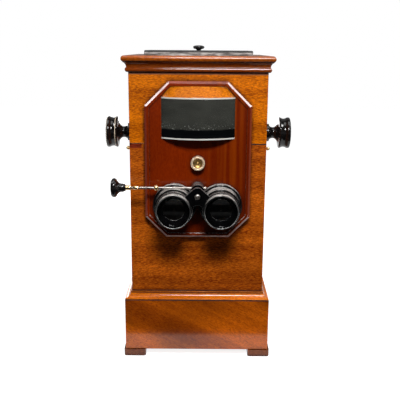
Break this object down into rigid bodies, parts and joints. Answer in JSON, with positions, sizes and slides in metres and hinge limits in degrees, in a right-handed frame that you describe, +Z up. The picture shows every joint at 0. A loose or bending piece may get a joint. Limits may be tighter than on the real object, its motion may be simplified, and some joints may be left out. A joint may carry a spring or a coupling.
{
  "type": "cabinet stereoscope",
  "caption": "Upright wooden table-top stereoscope: focusing eyepieces on an octagonal panel, bowed window, hinged hood, top light flap and side knobs that wind a belt of stereo cards.",
  "frame": {"origin": "on the table, under the middle of the whole object's box, eyepieces and side knobs included", "axes": "+Z up, the eyepieces face -Y, +X to the viewer's right when looking at the front"},
  "size_m": [0.296, 0.2774, 0.4622],
  "materials": {
    "case_wood": "French-polished mahogany",
    "panel_wood": "French-polished dark mahogany",
    "plinth_wood": "French-polished mahogany",
    "inner_wood": "softwood stained matt black",
    "roller_wood": "plain turned wood",
    "knob_wood": "ebonised and polished",
    "brass": "lacquered brass",
    "steel": "bright steel",
    "nickel": "nickelled strip",
    "zinc": "grey sheet metal",
    "black_metal": "black lacquer",
    "tin": "black japanned tin",
    "glass": "clear glass",
    "mirror": "silvered glass",
    "webbing": "woven cotton tape",
    "card": "printed card"
  },
  "bodies": {
    "case": {"plinth_boards": "plinth_wood", "base_moulding": "plinth_wood", "feet": "plinth_wood", "floor_board": "inner_wood", "case_front": "case_wood", "case_back": "case_wood", "case_left": "case_wood", "case_right": "case_wood", "front_panel": "panel_wood", "window_glass": "glass", "window_caps": "nickel", "window_roof": "panel_wood", "septum": "inner_wood", "button_bezel": "brass", "sleeve_left": "black_metal", "sleeve_right": "black_metal", "pinion_housing": "black_metal", "axle_bushes": "brass", "idler_bearings": "roller_wood", "tapes": "webbing", "card_frames": "tin", "stereo_cards": "card", "hinge_leaves_lower": "brass", "hook_pegs": "brass", "catch_bracket": "brass"},
    "hood": {"hood_front": "case_wood", "hood_back": "case_wood", "hood_left": "case_wood", "hood_right": "case_wood", "top_board": "case_wood", "cornice": "case_wood", "hinge_leaves_upper": "brass", "hinge_pins": "steel", "hook_keepers": "brass", "flap_hinge_leaves": "brass"},
    "flap": {"flap_frame": "zinc", "flap_mirror": "mirror", "flap_knob": "knob_wood"},
    "transport": {"axle": "steel", "top_roller": "roller_wood", "knob_left": "knob_wood", "knob_right": "knob_wood"},
    "idler": {"idler_roller": "roller_wood"},
    "eyepieces": {"eyepiece_left": "black_metal", "eyepiece_right": "black_metal", "lens_left": "glass", "lens_right": "glass", "lens_rings": "black_metal", "bridge": "black_metal", "bridge_screw": "steel", "focus_rack": "brass"},
    "focus": {"focus_rod": "steel", "focus_pinion": "brass", "focus_knob": "knob_wood", "focus_ferrule": "brass", "rod_beads": "brass"},
    "button": {"catch_button": "brass"},
    "catch": {"catch_lever": "steel"},
    "hook_left": {"hook_left": "brass"},
    "hook_right": {"hook_right": "brass"}
  },
  "joints": [
    {"name": "transport_turn", "type": "hinge", "parent": "case", "child": "transport", "pos_m": [0, 0.0504, 0.325], "axis": [1, 0, 0], "continuous": true},
    {"name": "idler_turn", "type": "hinge", "parent": "case", "child": "idler", "pos_m": [0, 0.0504, 0.11959], "axis": [1, 0, 0], "continuous": true},
    {"name": "focus_travel", "type": "slide", "parent": "case", "child": "eyepieces", "axis": [0, -1, 0], "range_m": [-0.009, 0.009]},
    {"name": "focus_turn", "type": "hinge", "parent": "case", "child": "focus", "pos_m": [0, -0.10809, 0.2664], "axis": [1, 0, 0], "range_deg": [-130, 130]},
    {"name": "hood_open", "type": "hinge", "parent": "case", "child": "hood", "pos_m": [0, 0.12919, 0.325], "axis": [-1, 0, 0], "range_deg": [0, 100]},
    {"name": "flap_open", "type": "hinge", "parent": "hood", "child": "flap", "pos_m": [0, 0.05666, 0.4503], "axis": [-1, 0, 0], "range_deg": [0, 105]},
    {"name": "button_press", "type": "slide", "parent": "case", "child": "button", "axis": [0, 1, 0], "range_m": [0, 0.002], "stiffness_N_per_m": 300},
    {"name": "catch_tilt", "type": "hinge", "parent": "case", "child": "catch", "pos_m": [0, -0.06769, 0.2796], "axis": [-1, 0, 0], "range_deg": [0, 5.8]},
    {"name": "hook_left_swing", "type": "hinge", "parent": "case", "child": "hook_left", "pos_m": [-0.0991, -0.03969, 0.3126], "axis": [-1, 0, 0], "range_deg": [0, 180]},
    {"name": "hook_right_swing", "type": "hinge", "parent": "case", "child": "hook_right", "pos_m": [0.0991, -0.03969, 0.3126], "axis": [-1, 0, 0], "range_deg": [0, 180]}
  ],
  "couplings": [
    {"joint": "idler_turn", "follows": "transport_turn", "ratio": 1},
    {"joint": "focus_turn", "follows": "focus_travel", "rad_per_m": -250},
    {"joint": "catch_tilt", "follows": "button_press", "rad_per_m": 50}
  ]
}
